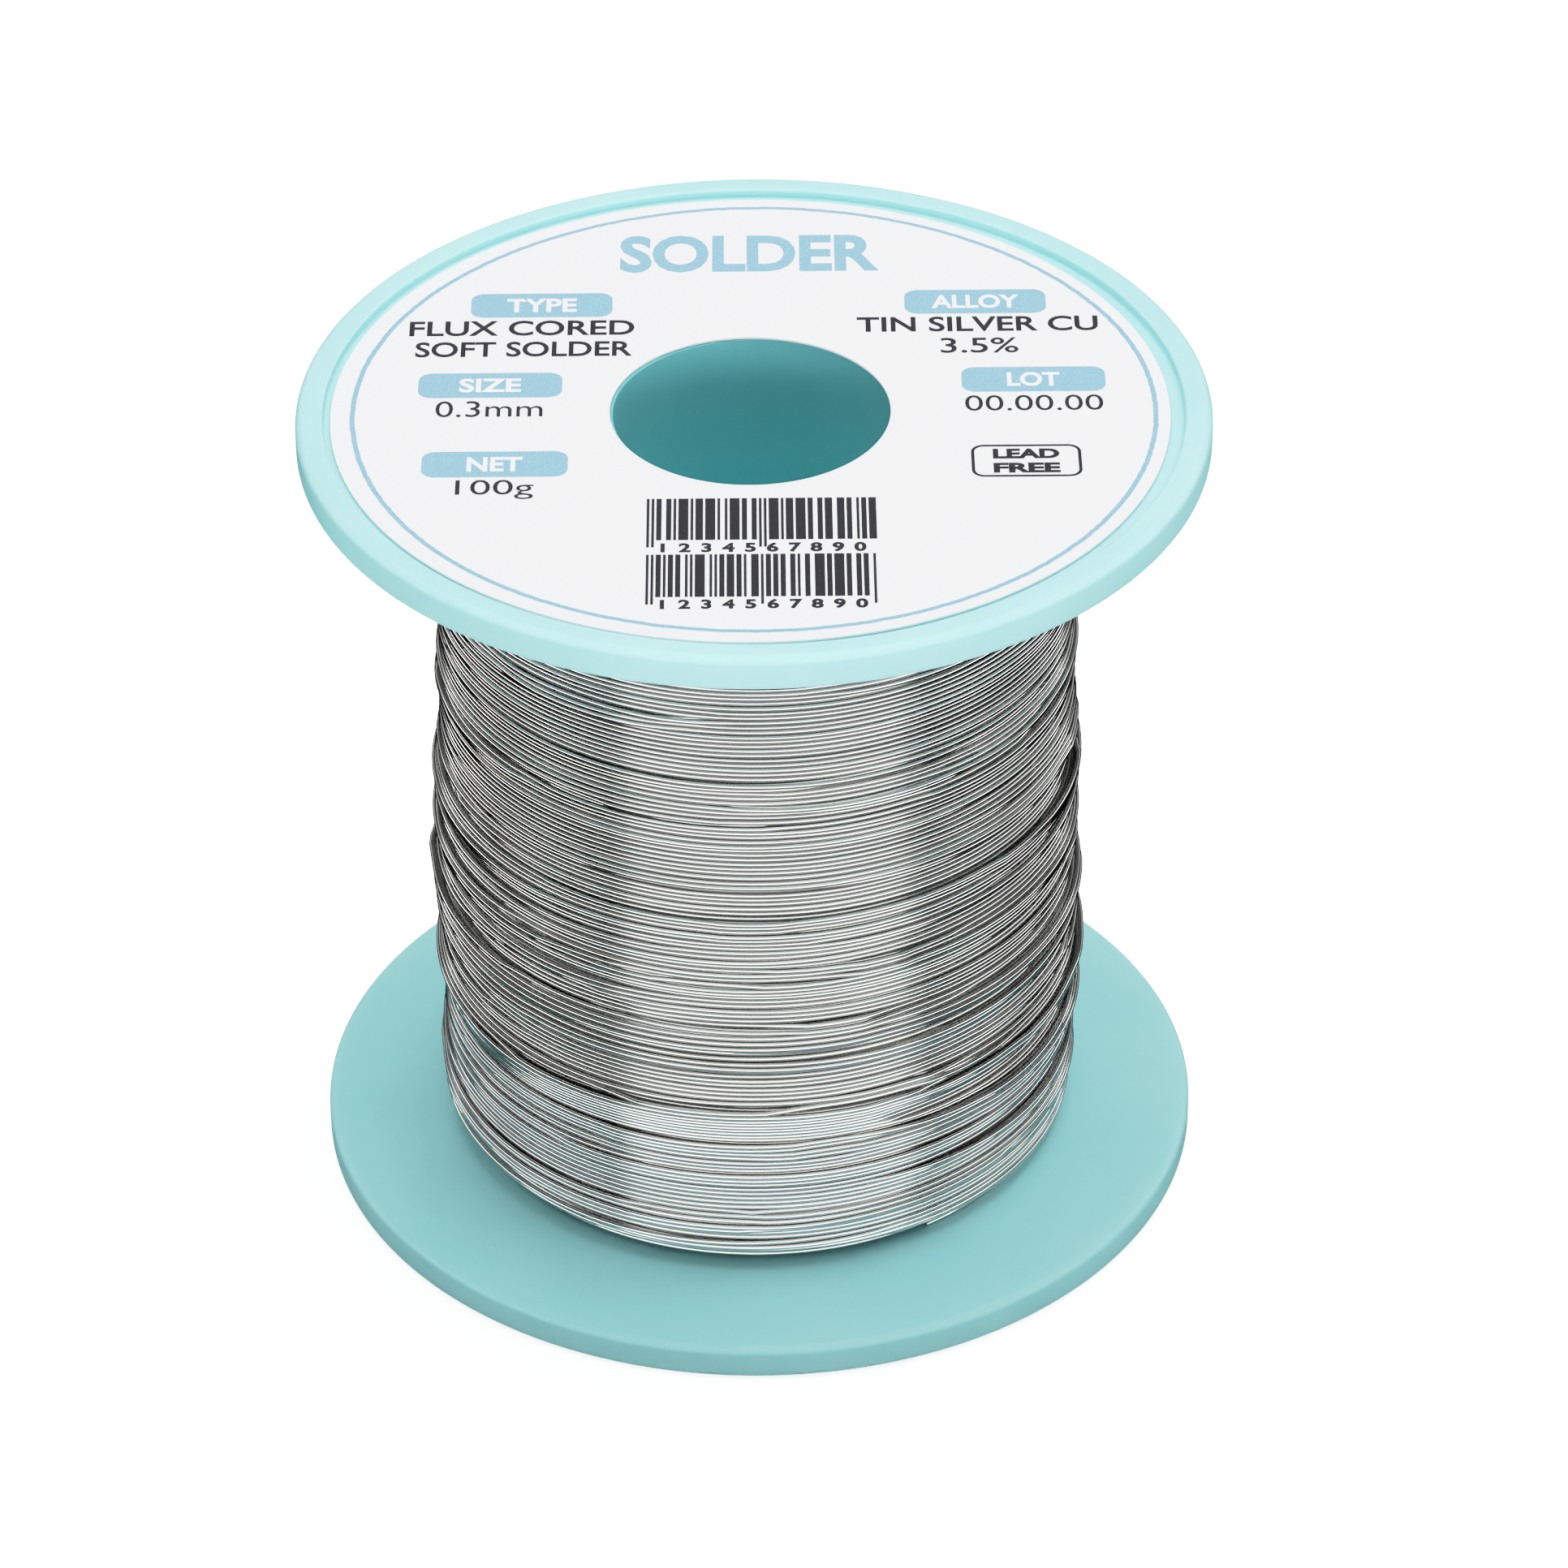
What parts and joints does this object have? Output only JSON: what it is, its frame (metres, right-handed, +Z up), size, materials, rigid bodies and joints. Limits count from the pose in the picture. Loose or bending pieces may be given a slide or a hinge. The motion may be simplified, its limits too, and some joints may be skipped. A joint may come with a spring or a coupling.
{
  "type": "solder wire spool",
  "caption": "Small free-standing reel with two equal round flanges, a through bore for a dispenser spindle, paper labels, and fine flux-cored solder wire wound between the flanges.",
  "frame": {"origin": "centre of the circle that the lower flange rests on, on the bore's axis", "axes": "+Z up along the bore's axis; -Y is the side that the upper label's text faces"},
  "size_m": [0.05, 0.05, 0.048],
  "materials": {
    "mint_plastic": "satin moulded polystyrene, slightly translucent",
    "label_paper": "coated white label with printed text and ring",
    "solder": "bright drawn tin alloy wire",
    "flux_rosin": "clear amber rosin"
  },
  "bodies": {
    "root": {"upper_flange": "mint_plastic", "lower_flange": "mint_plastic", "winding_barrel": "mint_plastic", "spindle_tube": "mint_plastic", "upper_label": "label_paper", "lower_label": "label_paper", "wire_inner_layers": "solder", "wire_outer_layers": "solder", "wire_start_tail": "solder", "wire_last_turn": "solder", "flux_core": "flux_rosin"}
  },
  "joints": []
}
